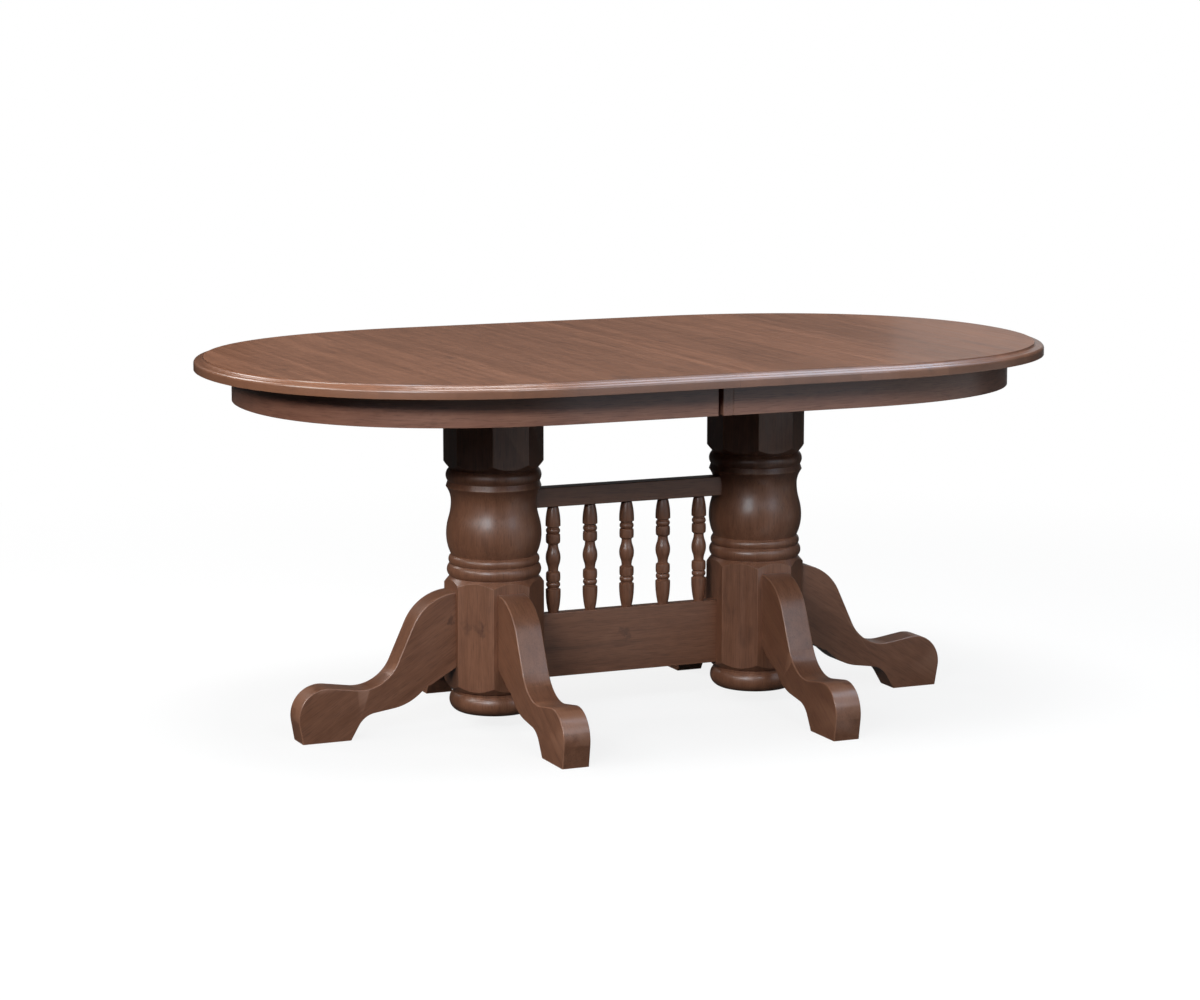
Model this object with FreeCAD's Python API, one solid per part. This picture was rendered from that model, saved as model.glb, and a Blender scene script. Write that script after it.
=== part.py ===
import FreeCAD, Part
import math
import os

from FreeCAD import Vector

# All sizes are millimetres. The origin is on the floor under the middle of the table.
# X runs along the table, the front side faces -Y and Z is up.

# Top
table_height = 762.0
top_length = 1781.0
top_width = 1060.0
top_straight = 587.0
top_thickness = 25.4
end_handle_side = 359.6
end_handle_tip = 326.5
edge_round = 6.4
edge_ledge = 8.6
edge_cove = 5.0
seam_gap = 0.2

# Apron and seam rails
apron_overhang = 74.4
apron_thickness = 20.0
apron_height = 63.4
apron_break = 10.0
seam_rail_thickness = 22.0
seam_rail_clear = 6.0
block_length = 60.0
block_size = 28.0
block_spacing = 150.0
block_margin = 20.0

# Seam pins
seam_pin_radius = 4.75
seam_pin_length = 40.0
seam_pin_reach = 15.0
seam_pin_clearance = 0.3
seam_pin_inner = 60.0
seam_pin_outer = 320.0

# Columns
column_spacing = 588.0
column_flats = 187.4
column_arris = 2.2
column_foot = 31.0
bun_radius = 92.2
bun_foot_radius = 73.4
bun_neck_radius = 85.3
bun_height = 40.0
bun_crown_share = 0.5
bevel_height = 15.0
lower_block_top = 309.0
lower_bead_radius = 95.8
lower_bead_height = 26.0
small_bead_radius = 92.4
small_bead_height = 18.0
groove_radius = 89.7
waist_radius = 86.9
belly_radius = 96.7
neck_radius = 86.7
lip_radius = 96.8
vase_share = 0.4
belly_share = 0.3
neck_share = 0.78
lip_height = 11.0
lip_groove_radius = 93.2
upper_bead_radius = 96.9
upper_bead_height = 26.0

# Legs. Reaches are measured out from the face of the column, heights from the floor.
# Each bend is the corner where two straight runs would meet, with its rounding radius.
leg_thickness = 56.8
leg_joint_top = 284.0
leg_joint_bottom = 131.0
shoulder_reach = 65.0
shoulder_height = 281.0
shoulder_radius = 105.0
ankle_reach = 151.4
ankle_height = 92.2
ankle_radius = 84.0
toe_reach = 348.0
toe_height = 121.7
toe_radius = 59.5
toe_floor_reach = 326.9
heel_floor_reach = 225.9
heel_reach = 197.6
heel_height = 48.6
heel_radius = 46.0
arch_reach = 102.5
arch_height = 62.4
arch_radius = 110.0
notch_reach = 56.6
notch_height = 98.0
notch_step = 5.0
leg_edge = 2.5
dowel_radius = 6.0
dowel_length = 80.0
dowel_low = 170.0
dowel_high = 242.0

# Stretcher
board_thickness = 25.0
board_bottom = 89.0
board_height = 132.0
board_tenon_thickness = 12.0
board_tenon_length = 26.0
board_shoulder = 16.0
bar_thickness = 34.0
bar_height = 39.6
bar_tenon_radius = 10.0
bar_tenon_length = 30.0
spindle_count = 5
spindle_spacing = 82.1
spindle_tenon_radius = 6.0
spindle_tenon_length = 15.0
spindle_rise = 3.5
spindle_end_radius = 10.4
spindle_belly_radius = 15.3
spindle_shoulder_radius = 15.4
spindle_neck_radius = 10.4
spindle_groove_radius = 12.0
spindle_barrel_radius = 14.4
spindle_barrel_crown = 0.5
spindle_bead_radius = 14.7
spindle_neck_offset = 27.5
spindle_lip_height = 3.5
spindle_barrel_height = 17.0
spindle_groove_height = 2.0
spindle_bead_height = 11.5
spindle_shoulder_height = 2.0
spindle_taper_swell = 1.6

# Slides under the top
half_travel = 305.0
slide_offset = 165.0
rail_width = 48.0
rail_height = 45.0
rail_length = 860.0
tongue_depth = 8.0
tongue_height = 12.0
slide_clearance = 0.3
slide_width = 34.0
slide_lift = 4.0
slide_end_clear = 125.0
slide_overlap = 45.0
slide_pass_gap = 2.0
slide_pass_start = 5.0
gear_module = 3.0
gear_teeth = 20
gear_thickness = 8.0
gear_pressure_angle = 20.0
gear_backlash = 0.3
gear_tip_clearance = 0.75
rack_back = 6.0
rack_margin = 32.0
pin_radius = 5.0
pin_length = 40.0
pin_head_radius = 9.0
pin_head_height = 3.0
pin_clearance = 0.05
top_gap = 3.0

# Mounting plates
plate_length = 260.0
plate_margin = 12.0
plate_thickness = 20.0

# Screws
plate_screw_radius = 4.0
plate_screw_length = 75.0
plate_screw_spacing = 96.0
plate_head_radius = 7.5
plate_head_height = 5.0
rail_screw_radius = 2.5
rail_screw_length = 45.0
rail_screw_spacing = 150.0
rail_head_radius = 5.0
rail_head_height = 3.5
slide_screw_radius = 2.5
slide_screw_length = 45.0
slide_screw_bite = 15.0
slide_screw_count = 3
slide_screw_margin = 60.0
slide_head_radius = 4.5
slide_head_height = 4.0
head_clearance = 0.5

# How far a cutting shape runs past the faces that it cuts
cut_margin = 1.0

# Derived places
top_under = table_height - top_thickness
half_length = top_length / 2
half_width = top_width / 2
apron_bottom = top_under - apron_height
apron_side = half_width - apron_overhang
apron_inside = apron_side - apron_thickness
edge_run = edge_round + edge_ledge + edge_cove
column_x = column_spacing / 2
column_face = column_flats / 2
column_corner = column_face / math.cos(math.pi / 8)
rail_top = top_under - top_gap - pin_head_height - gear_thickness
rail_bottom = rail_top - rail_height
plate_bottom = rail_bottom - plate_thickness
slide_bottom = rail_bottom + slide_lift
slide_inner = rail_width / 2 + slide_clearance
slide_outer = slide_inner + slide_width
slide_reach = half_travel + slide_overlap
slide_outer_reach = half_length - apron_overhang - apron_thickness - slide_end_clear
gear_radius = gear_module * gear_teeth / 2
rack_wall = gear_radius + gear_module + gear_tip_clearance + rack_back
tongue_middle = (rail_bottom + rail_top) / 2
vase_bottom = lower_block_top + lower_bead_height + small_bead_height
vase_height = vase_share * (plate_bottom - lower_block_top)
bar_middle = vase_bottom + neck_share * vase_height
bar_bottom = bar_middle - bar_height / 2
board_top = board_bottom + board_height

UP = Vector(0, 0, 1)


def box(x0, x1, y0, y1, z0, z1):
    return Part.makeBox(x1 - x0, y1 - y0, z1 - z0, Vector(x0, y0, z0))


def rod(start, direction, radius, length):
    return Part.makeCylinder(radius, length, start, direction)


def turned(shape, angle, x=0.0, y=0.0):
    moved = shape.copy()
    moved.rotate(Vector(0, 0, 0), UP, angle)
    moved.translate(Vector(x, y, 0))
    return moved


def line(a, b):
    return Part.LineSegment(a, b).toShape()


def arc(a, middle, b):
    return Part.Arc(a, middle, b).toShape()


def bezier(*poles):
    curve = Part.BezierCurve()
    curve.setPoles(list(poles))
    return curve.toShape()


def rounded(corners):
    # Edges of an open run through (point, radius) corners, each corner rounded by a tangent arc.
    edges = []
    last = corners[0][0]
    for (before, _), (point, radius), (after, _) in zip(corners, corners[1:], corners[2:]):
        toward = (before - point).normalize()
        away = (after - point).normalize()
        half = toward.getAngle(away) / 2
        bisector = (toward + away).normalize()
        start = point + toward * (radius / math.tan(half))
        end = point + away * (radius / math.tan(half))
        middle = point + bisector * (radius / math.sin(half) - radius)
        edges += [line(last, start), arc(start, middle, end)]
        last = end
    edges.append(line(last, corners[-1][0]))
    return edges


def revolve(edges):
    face = Part.Face(Part.Wire(Part.__sortEdges__(edges)))
    return face.revolve(Vector(0, 0, 0), UP, 360)


def single(shape):
    return shape.removeSplitter().Solids[0]


# Outline of one half of the top

def end_outline():
    side = top_straight / 2
    tip = Vector(half_length, 0, 0)
    front = Vector(side, -half_width, 0)
    back = Vector(side, half_width, 0)
    lead = Vector(end_handle_side, 0, 0)
    lean = Vector(0, end_handle_tip, 0)
    return [
        line(Vector(0, -half_width, 0), front),
        bezier(front, front + lead, tip - lean, tip),
        bezier(tip, tip + lean, back + lead, back),
        line(back, Vector(0, half_width, 0)),
    ]


def sweep_outline(edges):
    pipe = Part.BRepOffsetAPI.MakePipeShell(Part.Wire(end_outline()))
    pipe.setBiNormalMode(UP)
    pipe.add(Part.Wire(edges), False, False)
    pipe.build()
    pipe.makeSolid()
    return pipe.shape()


def inset_point(inset, height):
    return Vector(0, -half_width + inset, height)


def edge_waste():
    ledge_height = table_height - edge_cove
    face_height = ledge_height - edge_round
    cove_start = edge_round + edge_ledge
    bend = math.sqrt(0.5)
    outside = -cut_margin
    above = table_height + cut_margin
    a = inset_point(outside, above)
    b = inset_point(outside, face_height)
    c = inset_point(0, face_height)
    d = inset_point(edge_round, ledge_height)
    e = inset_point(cove_start, ledge_height)
    f = inset_point(edge_run, table_height)
    g = inset_point(edge_run, above)
    round_middle = inset_point(edge_round * (1 - bend), face_height + edge_round * bend)
    cove_middle = inset_point(cove_start + edge_cove * bend, table_height - edge_cove * bend)
    return sweep_outline([
        line(a, b), line(b, c), arc(c, round_middle, d), line(d, e),
        arc(e, cove_middle, f), line(f, g), line(g, a),
    ])


def top_half():
    seam = line(Vector(0, half_width, 0), Vector(0, -half_width, 0))
    face = Part.Face(Part.Wire(end_outline() + [seam]))
    slab = face.extrude(Vector(0, 0, top_thickness))
    slab.translate(Vector(0, 0, top_under))
    shaped = slab.cut(edge_waste())
    low = top_under - cut_margin
    high = table_height + cut_margin
    seam_cut = box(-cut_margin, seam_gap / 2, -top_width, top_width, low, high)
    return single(shaped.cut(seam_cut))


# Apron, seam rails and glue blocks of one half, drawn on the +X side

def apron_half(start):
    inner = apron_overhang + apron_thickness
    a = inset_point(apron_overhang, apron_bottom)
    b = inset_point(inner, apron_bottom)
    c = inset_point(inner, top_under)
    d = inset_point(apron_overhang, top_under)
    bent = sweep_outline([line(a, b), line(b, c), line(c, d), line(d, a)])
    seam_cut = box(-cut_margin, start, -top_width, top_width, apron_bottom - cut_margin, table_height)
    return single(bent.cut(seam_cut))


def seam_rail(start, outer):
    inner = slide_offset + slide_outer + seam_rail_clear
    return box(start, start + seam_rail_thickness, inner, outer, apron_bottom, top_under)


def glue_blocks():
    blocks = []
    for index in range(2):
        x = top_straight / 2 - block_margin - block_length - index * block_spacing
        inside = apron_inside - block_size
        block = box(x, x + block_length, inside, apron_inside, top_under - block_size, top_under)
        blocks.append(block)
        blocks.append(turned(block, 180, 2 * x + block_length))
    return blocks


# Slides

def slide_blank():
    long_side = slide_outer_reach + slide_reach
    blank = box(-slide_reach, slide_outer_reach, slide_inner, slide_outer, slide_bottom, top_under)
    groove_low = tongue_middle - tongue_height / 2 - slide_clearance
    groove_high = tongue_middle + tongue_height / 2 + slide_clearance
    groove_end = rail_width / 2 + tongue_depth + slide_clearance
    groove = box(-long_side, long_side, 0, groove_end, groove_low, groove_high)
    rebate = box(-long_side, long_side, 0, rack_wall, rail_top, table_height)
    passing = box(-long_side, slide_pass_start, 0, table_height, top_under - slide_pass_gap, table_height)
    return blank.cut(groove).cut(rebate).cut(passing)


def slide_screw_places():
    first = slide_screw_margin
    last = slide_outer_reach - slide_screw_margin
    step = (last - first) / (slide_screw_count - 1)
    middle = (rack_wall + slide_outer) / 2
    return [(first + index * step, middle) for index in range(slide_screw_count)]


def screw(x, y, head_face, direction, radius, length, head_radius, head_height):
    start = Vector(x, y, head_face)
    shank = rod(start, direction, radius, length)
    head = rod(start - direction * head_height, direction, head_radius, head_height)
    return single(shank.fuse(head))


def slide_screws():
    seat = top_under + slide_screw_bite - slide_screw_length
    return [
        screw(x, y, seat, UP, slide_screw_radius, slide_screw_length, slide_head_radius, slide_head_height)
        for x, y in slide_screw_places()
    ]


def slide_holes():
    seat = top_under + slide_screw_bite - slide_screw_length
    holes = []
    for x, y in slide_screw_places():
        holes.append(rod(Vector(x, y, seat), UP, slide_screw_radius, slide_screw_length))
        access = Vector(x, y, slide_bottom)
        holes.append(rod(access, UP, slide_head_radius + head_clearance, seat - slide_bottom))
    return holes


def rack():
    pitch = math.pi * gear_module
    slope = math.tan(math.radians(gear_pressure_angle))
    half_tooth = pitch / 4 - gear_backlash / 2
    tip = gear_radius - gear_module
    root = gear_radius + gear_module + gear_tip_clearance
    half_tip = half_tooth - gear_module * slope
    half_root = half_tooth + (root - gear_radius) * slope
    first = math.ceil(-(half_travel + rack_margin) / pitch - 0.5)
    last = math.floor(rack_margin / pitch - 0.5)
    start = (first + 0.5) * pitch - pitch / 2
    end = (last + 0.5) * pitch + pitch / 2
    points = [Vector(start, rack_wall, rail_top), Vector(start, root, rail_top)]
    for index in range(first, last + 1):
        middle = (index + 0.5) * pitch
        points.append(Vector(middle - half_root, root, rail_top))
        points.append(Vector(middle - half_tip, tip, rail_top))
        points.append(Vector(middle + half_tip, tip, rail_top))
        points.append(Vector(middle + half_root, root, rail_top))
    points += [Vector(end, root, rail_top), Vector(end, rack_wall, rail_top)]
    face = Part.Face(Part.makePolygon(points + points[:1]))
    return face.extrude(Vector(0, 0, gear_thickness))


def pinion():
    base = gear_radius * math.cos(math.radians(gear_pressure_angle))
    tip = gear_radius + gear_module
    root = gear_radius - gear_module - gear_tip_clearance
    pitch_roll = math.tan(math.radians(gear_pressure_angle)) - math.radians(gear_pressure_angle)
    half_angle = (math.pi * gear_module / 2 - gear_backlash) / 2 / gear_radius
    flank = [(root, half_angle + pitch_roll)]
    steps = 4
    for index in range(steps + 1):
        radius = base + (tip - base) * index / steps
        pressure = math.acos(base / radius)
        flank.append((radius, half_angle + pitch_roll - math.tan(pressure) + pressure))
    points = []
    for tooth in range(gear_teeth):
        middle = math.pi / 2 + 2 * math.pi * tooth / gear_teeth
        for side, trail in ((-1, flank), (1, flank[::-1])):
            for radius, half in trail:
                angle = middle + side * half
                points.append(Vector(radius * math.cos(angle), radius * math.sin(angle), rail_top))
    face = Part.Face(Part.makePolygon(points + points[:1]))
    wheel = face.extrude(Vector(0, 0, gear_thickness))
    bore_bottom = Vector(0, 0, rail_top - cut_margin)
    bore = rod(bore_bottom, UP, pin_radius + pin_clearance, gear_thickness + 2 * cut_margin)
    return wheel.cut(bore)


def pinion_pin():
    head_face = rail_top + gear_thickness
    down = Vector(0, 0, -1)
    return screw(0, 0, head_face, down, pin_radius, pin_length, pin_head_radius, pin_head_height)


def rail_screws():
    seat = plate_bottom + rail_head_height
    return [
        screw(side * column_x + step * rail_screw_spacing / 2, 0, seat, UP,
              rail_screw_radius, rail_screw_length, rail_head_radius, rail_head_height)
        for side in (-1, 1) for step in (-1, 1)
    ]


def fixed_rail():
    half = rail_length / 2
    wide = rail_width / 2 + tongue_depth
    low = tongue_middle - tongue_height / 2
    high = tongue_middle + tongue_height / 2
    blank = box(-half, half, -rail_width / 2, rail_width / 2, rail_bottom, rail_top)
    rail = blank.fuse(box(-half, half, -wide, wide, low, high))
    for item in rail_screws() + [pinion_pin()]:
        rail = rail.cut(item)
    return single(rail)


# Mounting plate of one column

def plate_screws():
    half = plate_screw_spacing / 2
    seat = rail_bottom - plate_head_height
    down = Vector(0, 0, -1)
    return [
        screw(x * half, y * half, seat, down,
              plate_screw_radius, plate_screw_length, plate_head_radius, plate_head_height)
        for x in (-1, 1) for y in (-1, 1)
    ]


def mounting_plate(side):
    half_x = plate_length / 2
    half_y = slide_offset + rail_width / 2 + plate_margin
    plate = box(-half_x, half_x, -half_y, half_y, plate_bottom, rail_bottom)
    for item in plate_screws():
        plate = plate.cut(item)
    plate.translate(Vector(side * column_x, 0, 0))
    for item in rail_screws():
        for y in (-slide_offset, slide_offset):
            plate = plate.cut(item.translated(Vector(0, y, 0)))
    return single(plate)


# Column: octagonal blocks at both ends, turned between and below them

def octagon(bottom, top):
    start = (Vector(column_face, 0, bottom), 0)
    corners = []
    for index in range(8):
        angle = math.pi / 8 + index * math.pi / 4
        corner = Vector(column_corner * math.cos(angle), column_corner * math.sin(angle), bottom)
        corners.append((corner, column_arris))
    outline = Part.Wire(rounded([start] + corners + [start]))
    return Part.Face(outline).extrude(Vector(0, 0, top - bottom))


def profile_point(radius, height):
    return Vector(radius, 0, height)


def bevelled_block(bottom, top, bottom_bevel, top_bevel):
    reach = column_corner + cut_margin
    low = bottom + bevel_height if bottom_bevel else bottom
    high = top - bevel_height if top_bevel else top
    low_radius = groove_radius if bottom_bevel else reach
    high_radius = groove_radius if top_bevel else reach
    corners = [
        profile_point(0, bottom), profile_point(low_radius, bottom), profile_point(reach, low),
        profile_point(reach, high), profile_point(high_radius, top), profile_point(0, top),
    ]
    kept = [corners[0]]
    for corner in corners[1:]:
        if corner.distanceToPoint(kept[-1]) > 0.001:
            kept.append(corner)
    edges = [line(a, b) for a, b in zip(kept, kept[1:] + kept[:1])]
    return octagon(bottom, top).common(revolve(edges))


def bead(radius, root_low, root_high, bottom, top):
    middle = (bottom + top) / 2
    return arc(profile_point(root_low, bottom), profile_point(radius, middle), profile_point(root_high, top))


def bun():
    top = column_foot + bun_height
    crown = column_foot + bun_height * bun_crown_share
    low = profile_point(bun_foot_radius, column_foot)
    high = profile_point(bun_neck_radius, top)
    neck_top = top + bevel_height / 2
    edges = [
        line(profile_point(0, column_foot), low),
        arc(low, profile_point(bun_radius, crown), high),
        line(high, profile_point(bun_neck_radius, neck_top)),
        line(profile_point(bun_neck_radius, neck_top), profile_point(0, neck_top)),
        line(profile_point(0, neck_top), profile_point(0, column_foot)),
    ]
    return revolve(edges), neck_top


def upright_arc(level, other):
    # Part of a turned profile that is upright at its first point.
    side = other.x - level.x
    rise = other.z - level.z
    radius = (side * side + rise * rise) / (2 * side)
    angle = math.asin(rise / radius) / 2
    middle = profile_point(level.x + radius * (1 - math.cos(angle)), level.z + radius * math.sin(angle))
    return arc(level, middle, other)


def vase():
    waist = profile_point(waist_radius, vase_bottom)
    belly = profile_point(belly_radius, vase_bottom + belly_share * vase_height)
    neck = profile_point(neck_radius, bar_middle)
    lip = profile_point(lip_radius, vase_bottom + vase_height)
    turn = (belly + neck) * 0.5
    lower = [upright_arc(belly, waist), upright_arc(belly, turn)]
    upper = [upright_arc(neck, turn), upright_arc(neck, lip)]
    return lower + upper


def turning():
    bottom = lower_block_top
    first_groove = bottom + lower_bead_height
    lip_bottom = vase_bottom + vase_height
    lip_top = lip_bottom + lip_height
    top = lip_top + upper_bead_height
    edges = [
        line(profile_point(0, bottom), profile_point(groove_radius, bottom)),
        bead(lower_bead_radius, groove_radius, groove_radius, bottom, first_groove),
        bead(small_bead_radius, groove_radius, waist_radius, first_groove, vase_bottom),
        *vase(),
        line(profile_point(lip_radius, lip_bottom), profile_point(lip_groove_radius, lip_top)),
        bead(upper_bead_radius, lip_groove_radius, groove_radius, lip_top, top),
        line(profile_point(groove_radius, top), profile_point(0, top)),
        line(profile_point(0, top), profile_point(0, bottom)),
    ]
    return revolve(edges), top


def column_blank():
    foot, neck_top = bun()
    middle, upper_bottom = turning()
    lower = bevelled_block(neck_top, lower_block_top, True, True)
    upper = bevelled_block(upper_bottom, plate_bottom, True, False)
    return foot.fuse([lower, middle, upper])


def leg_dowels():
    start = column_face - dowel_length / 2
    along = Vector(1, 0, 0)
    return [rod(Vector(start, 0, z), along, dowel_radius, dowel_length) for z in (dowel_low, dowel_high)]


def board_tenon(start):
    half = board_tenon_thickness / 2
    low = board_bottom + board_shoulder
    high = board_top - board_shoulder
    return box(start, start + board_tenon_length, -half, half, low, high)


def bar_tenon(start):
    # Runs on into the bar, past the rounded face of the column.
    length = bar_tenon_length + bar_thickness
    return rod(Vector(start, 0, bar_middle), Vector(1, 0, 0), bar_tenon_radius, length)


def column():
    # Drawn at the origin with its stretcher side facing +X.
    body = column_blank()
    for angle in (180, 90, -90):
        for dowel in leg_dowels():
            body = body.cut(turned(dowel, angle))
    body = body.cut(board_tenon(column_face - board_tenon_length))
    body = body.cut(bar_tenon(neck_radius - bar_tenon_length))
    for item in plate_screws():
        body = body.cut(item)
    return single(body)


# Legs

def follows(edge, run):
    # True for an edge that has the same path, seen from the side, as one of the run's edges.
    middle = edge.CenterOfMass
    gaps = [math.hypot(middle.x - other.CenterOfMass.x, middle.z - other.CenterOfMass.z) for other in run]
    return min(gaps) < 0.001


def leg():
    # Drawn reaching out along +X from a column at the origin.
    def at(reach, height):
        return Vector(column_face + reach, -leg_thickness / 2, height)

    joint_top = at(0, leg_joint_top)
    joint_bottom = at(0, leg_joint_bottom)
    toe_floor = at(toe_floor_reach, 0)
    heel_floor = at(heel_floor_reach, 0)
    notch_out = at(notch_reach + notch_step, notch_height)
    notch_in = at(notch_reach, notch_height)
    upper = rounded([
        (joint_top, 0), (at(shoulder_reach, shoulder_height), shoulder_radius),
        (at(ankle_reach, ankle_height), ankle_radius), (at(toe_reach, toe_height), toe_radius), (toe_floor, 0),
    ])
    lower = rounded([
        (heel_floor, 0), (at(heel_reach, heel_height), heel_radius),
        (at(arch_reach, arch_height), arch_radius), (notch_out, 0),
    ])
    edges = upper + [line(toe_floor, heel_floor)] + lower
    edges += [line(notch_out, notch_in), line(notch_in, joint_bottom), line(joint_bottom, joint_top)]
    body = Part.Face(Part.Wire(edges)).extrude(Vector(0, leg_thickness, 0))
    soft = [edge for edge in body.Edges if follows(edge, upper)]
    body = body.makeFillet(leg_edge, soft)
    for dowel in leg_dowels():
        body = body.cut(dowel)
    return single(body)


# Stretcher

def spindle_half(at, end):
    # One half of the turned profile, from the belly out to the end of the taper.
    lip = spindle_neck_offset + spindle_lip_height
    barrel = lip + spindle_barrel_height
    groove = barrel + spindle_groove_height
    bead_end = groove + spindle_bead_height
    rise = bead_end + spindle_groove_height
    shoulder = rise + spindle_shoulder_height
    belly = at(spindle_belly_radius, 0)
    neck = at(spindle_neck_radius, spindle_neck_offset)
    turn = (belly + neck) * 0.5
    barrel_middle = at(spindle_barrel_radius + spindle_barrel_crown, (lip + barrel) / 2)
    bead_middle = at(spindle_bead_radius, (groove + bead_end) / 2)
    swell = (spindle_shoulder_radius + spindle_end_radius) / 2 + spindle_taper_swell
    taper_middle = at(swell, (shoulder + end) / 2)
    tenon_end = end + spindle_tenon_length
    return [
        upright_arc(belly, turn),
        upright_arc(neck, turn),
        line(neck, at(spindle_barrel_radius, lip)),
        arc(at(spindle_barrel_radius, lip), barrel_middle, at(spindle_barrel_radius, barrel)),
        line(at(spindle_barrel_radius, barrel), at(spindle_groove_radius, groove)),
        arc(at(spindle_groove_radius, groove), bead_middle, at(spindle_groove_radius, bead_end)),
        line(at(spindle_groove_radius, bead_end), at(spindle_groove_radius, rise)),
        line(at(spindle_groove_radius, rise), at(spindle_shoulder_radius, shoulder)),
        arc(at(spindle_shoulder_radius, shoulder), taper_middle, at(spindle_end_radius, end)),
        line(at(spindle_end_radius, end), at(spindle_tenon_radius, end)),
        line(at(spindle_tenon_radius, end), at(spindle_tenon_radius, tenon_end)),
        line(at(spindle_tenon_radius, tenon_end), at(0, tenon_end)),
        line(at(0, tenon_end), at(0, 0)),
    ]


def spindle_edges():
    middle = (board_top + bar_bottom) / 2 + spindle_rise

    def above(radius, offset):
        return profile_point(radius, middle + offset)

    def below(radius, offset):
        return profile_point(radius, middle - offset)

    return spindle_half(above, bar_bottom - middle) + spindle_half(below, middle - board_top)


def spindle():
    return revolve(spindle_edges()).Solids[0]


def spindle_places():
    first = -(spindle_count - 1) / 2
    return [(first + index) * spindle_spacing for index in range(spindle_count)]


def spindle_tenons(x):
    low = rod(Vector(x, 0, board_top - spindle_tenon_length), UP, spindle_tenon_radius, spindle_tenon_length)
    high = rod(Vector(x, 0, bar_bottom), UP, spindle_tenon_radius, spindle_tenon_length)
    return [low, high]


def stretcher_board():
    reach = column_x - column_face
    half = board_thickness / 2
    board = box(-reach, reach, -half, half, board_bottom, board_top)
    board = board.fuse([board_tenon(reach), board_tenon(-reach - board_tenon_length)])
    for x in spindle_places():
        board = board.cut(spindle_tenons(x)[0])
    return single(board)


def stretcher_bar():
    reach = column_x - neck_radius
    half = bar_thickness / 2
    bar = box(-reach - half, reach + half, -half, half, bar_bottom, bar_bottom + bar_height)
    blank = column_blank()
    for side in (-1, 1):
        bar = bar.cut(blank.translated(Vector(side * column_x, 0, 0)))
    bar = bar.fuse([bar_tenon(reach - bar_thickness), bar_tenon(-reach - bar_tenon_length)])
    for x in spindle_places():
        bar = bar.cut(spindle_tenons(x)[1])
    return single(bar)


# Assembly

def build_base(parts):
    stock = column()
    limb = leg()
    dowels = []
    heads = []
    for name, side, outer in (("left", -1, 180), ("right", 1, 0)):
        x = side * column_x
        parts["column_" + name] = turned(stock, outer + 180, x)
        parts["plate_" + name] = mounting_plate(side)
        for place, angle in (("outer", outer), ("front", -90), ("back", 90)):
            parts["leg_" + name + "_" + place] = turned(limb, angle, x)
            dowels += [turned(dowel, angle, x) for dowel in leg_dowels()]
        heads += [item.translated(Vector(x, 0, 0)) for item in plate_screws()]
    parts["leg_dowels"] = Part.makeCompound(dowels)
    parts["plate_screws"] = Part.makeCompound(heads)
    parts["stretcher_board"] = stretcher_board()
    parts["stretcher_bar"] = stretcher_bar()
    for index, x in enumerate(spindle_places()):
        parts["spindle_" + str(index + 1)] = spindle().translated(Vector(x, 0, 0))


def build_slides(parts):
    fixings = []
    pins = []
    for name, y in (("front", -slide_offset), ("back", slide_offset)):
        place = Vector(0, y, 0)
        parts["rail_" + name] = fixed_rail().translated(place)
        parts["pinion_" + name] = pinion().translated(place)
        fixings += [item.translated(place) for item in rail_screws()]
        pins.append(pinion_pin().translated(place))
    parts["rail_screws"] = Part.makeCompound(fixings)
    parts["pinion_pins"] = Part.makeCompound(pins)


def half_slides(parts, half):
    # The right half's slides lie on the inner side of the fixed rails, the left half's on the outer side.
    blank = slide_blank()
    for hole in slide_holes():
        blank = blank.cut(hole)
    bar = single(blank)
    tooth_bar = rack()
    placed = []
    for name, y in (("front", -slide_offset), ("back", slide_offset)):
        away = 1 if y > 0 else -1
        side = away if half == "left" else -away
        turn = 0 if half == "right" else 180
        flip = side if half == "right" else -side

        def put(shape):
            item = shape if flip > 0 else shape.mirror(Vector(0, 0, 0), Vector(0, 1, 0))
            return turned(item, turn, 0, y)

        parts["slide_" + half + "_" + name] = put(bar)
        parts["rack_" + half + "_" + name] = put(tooth_bar)
        placed += [put(item) for item in slide_screws()]
    parts["slide_screws_" + half] = Part.makeCompound(placed)
    return placed


def seam_pins(radius, extra):
    start = seam_pin_reach - seam_pin_length
    height = top_under + top_thickness / 2
    places = (-seam_pin_outer, -seam_pin_inner, seam_pin_inner, seam_pin_outer)
    return [rod(Vector(start, y, height), Vector(1, 0, 0), radius, seam_pin_length + extra) for y in places]


def build_half(parts, half):
    turn = 0 if half == "right" else 180
    start = seam_gap / 2 if half == "right" else apron_break
    outer = apron_side if half == "right" else apron_inside
    board = turned(top_half(), turn)
    for item in half_slides(parts, half):
        board = board.cut(item)
    holes = seam_pins(seam_pin_radius, 0)
    if half == "right":
        holes = seam_pins(seam_pin_radius + seam_pin_clearance, seam_pin_clearance)
    for hole in holes:
        board = board.cut(hole)
    parts["top_" + half] = single(board)
    apron_start = start + seam_rail_thickness if half == "right" else apron_break
    parts["apron_" + half] = turned(apron_half(apron_start), turn)
    rail = seam_rail(start, outer)
    other = rail.mirror(Vector(0, 0, 0), Vector(0, 1, 0))
    front, back = (other, rail) if half == "right" else (rail, other)
    parts["seam_rail_" + half + "_front"] = turned(front, turn)
    parts["seam_rail_" + half + "_back"] = turned(back, turn)
    parts["glue_blocks_" + half] = Part.makeCompound([turned(block, turn) for block in glue_blocks()])


def main():
    parts = {}
    build_base(parts)
    build_slides(parts)
    build_half(parts, "left")
    build_half(parts, "right")
    parts["seam_pins"] = Part.makeCompound(seam_pins(seam_pin_radius, 0))
    os.makedirs("parts", exist_ok=True)
    for name, shape in parts.items():
        shape.exportStep(os.path.join("parts", name + ".step"))
    print(len(parts), "parts written")


main()
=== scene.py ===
import math

import bmesh
import bpy
import numpy as np
from mathutils import Matrix, Vector


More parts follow.
